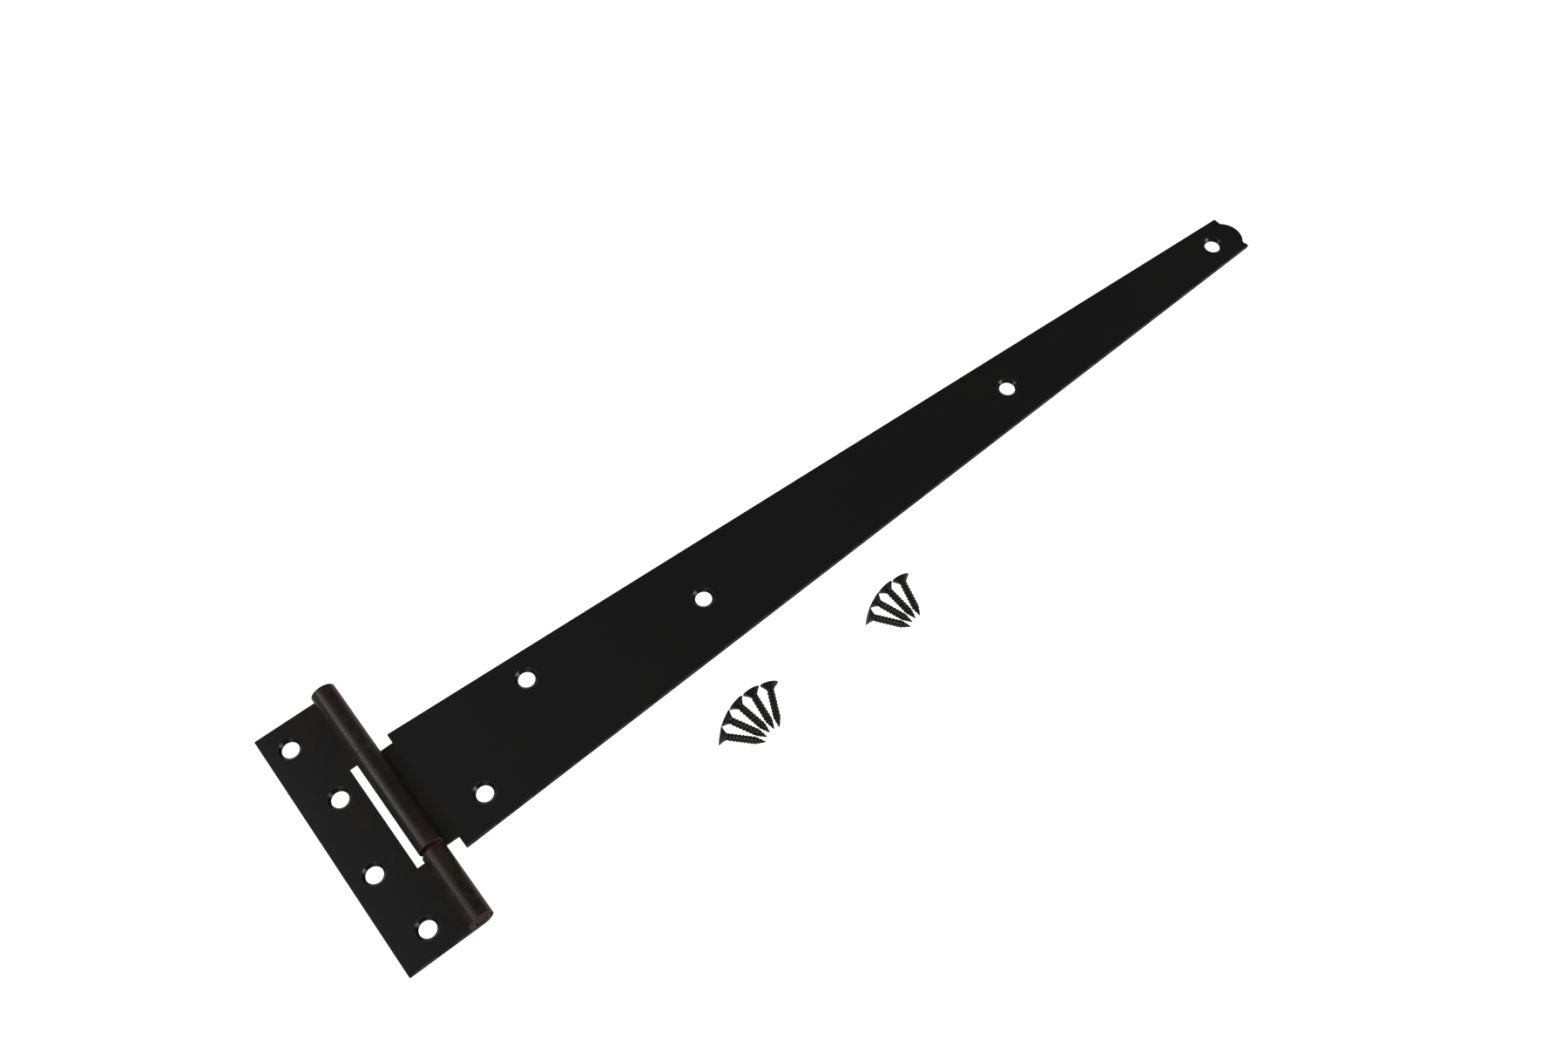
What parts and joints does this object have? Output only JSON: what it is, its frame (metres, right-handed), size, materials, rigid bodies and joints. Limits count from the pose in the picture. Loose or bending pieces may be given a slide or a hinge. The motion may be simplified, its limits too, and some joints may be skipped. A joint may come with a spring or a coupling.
{
  "type": "tee hinge",
  "caption": "Black steel tee hinge lying open: short slotted flap, long tapered strap with a round nose, rolled knuckles on a pin, and its loose countersunk screws.",
  "frame": {"origin": "on the back plane, straight below the middle of the pin", "axes": "+X from the pin along the strap towards its nose, +Y along the pin, +Z out of the back faces towards the barrel side"},
  "size_m": [0.4817, 0.1223, 0.01],
  "materials": {
    "leaf_steel": "satin black over sheet steel, faint bronze and rust tints on the rolled knuckles",
    "pin_steel": "dull brown-black steel pin, cut ends",
    "screw_steel": "black phosphate, worn bright on a few edges"
  },
  "bodies": {
    "flap": {"flap_leaf": "leaf_steel", "hinge_pin": "pin_steel"},
    "strap": {"strap_leaf": "leaf_steel"},
    "strap_screw_1": {"strap_screw_1": "screw_steel"},
    "strap_screw_2": {"strap_screw_2": "screw_steel"},
    "strap_screw_3": {"strap_screw_3": "screw_steel"},
    "strap_screw_4": {"strap_screw_4": "screw_steel"},
    "strap_screw_5": {"strap_screw_5": "screw_steel"},
    "flap_screw_1": {"flap_screw_1": "screw_steel"},
    "flap_screw_2": {"flap_screw_2": "screw_steel"},
    "flap_screw_3": {"flap_screw_3": "screw_steel"},
    "flap_screw_4": {"flap_screw_4": "screw_steel"}
  },
  "joints": [
    {"name": "strap_swing", "type": "hinge", "parent": "flap", "child": "strap", "pos_m": [0, 0, 0.005], "axis": [0, -1, 0], "range_deg": [-105, 188]},
    {"name": "strap_screw_1_lift", "type": "slide", "parent": "flap", "child": "strap_screw_1", "axis": [0, 0, 1], "range_m": [0, 0.04]},
    {"name": "strap_screw_2_lift", "type": "slide", "parent": "flap", "child": "strap_screw_2", "axis": [0, 0, 1], "range_m": [0, 0.04]},
    {"name": "strap_screw_3_lift", "type": "slide", "parent": "flap", "child": "strap_screw_3", "axis": [0, 0, 1], "range_m": [0, 0.04]},
    {"name": "strap_screw_4_lift", "type": "slide", "parent": "flap", "child": "strap_screw_4", "axis": [0, 0, 1], "range_m": [0, 0.04]},
    {"name": "strap_screw_5_lift", "type": "slide", "parent": "flap", "child": "strap_screw_5", "axis": [0, 0, 1], "range_m": [0, 0.04]},
    {"name": "flap_screw_1_lift", "type": "slide", "parent": "flap", "child": "flap_screw_1", "axis": [0, 0, 1], "range_m": [0, 0.04]},
    {"name": "flap_screw_2_lift", "type": "slide", "parent": "flap", "child": "flap_screw_2", "axis": [0, 0, 1], "range_m": [0, 0.04]},
    {"name": "flap_screw_3_lift", "type": "slide", "parent": "flap", "child": "flap_screw_3", "axis": [0, 0, 1], "range_m": [0, 0.04]},
    {"name": "flap_screw_4_lift", "type": "slide", "parent": "flap", "child": "flap_screw_4", "axis": [0, 0, 1], "range_m": [0, 0.04]}
  ]
}
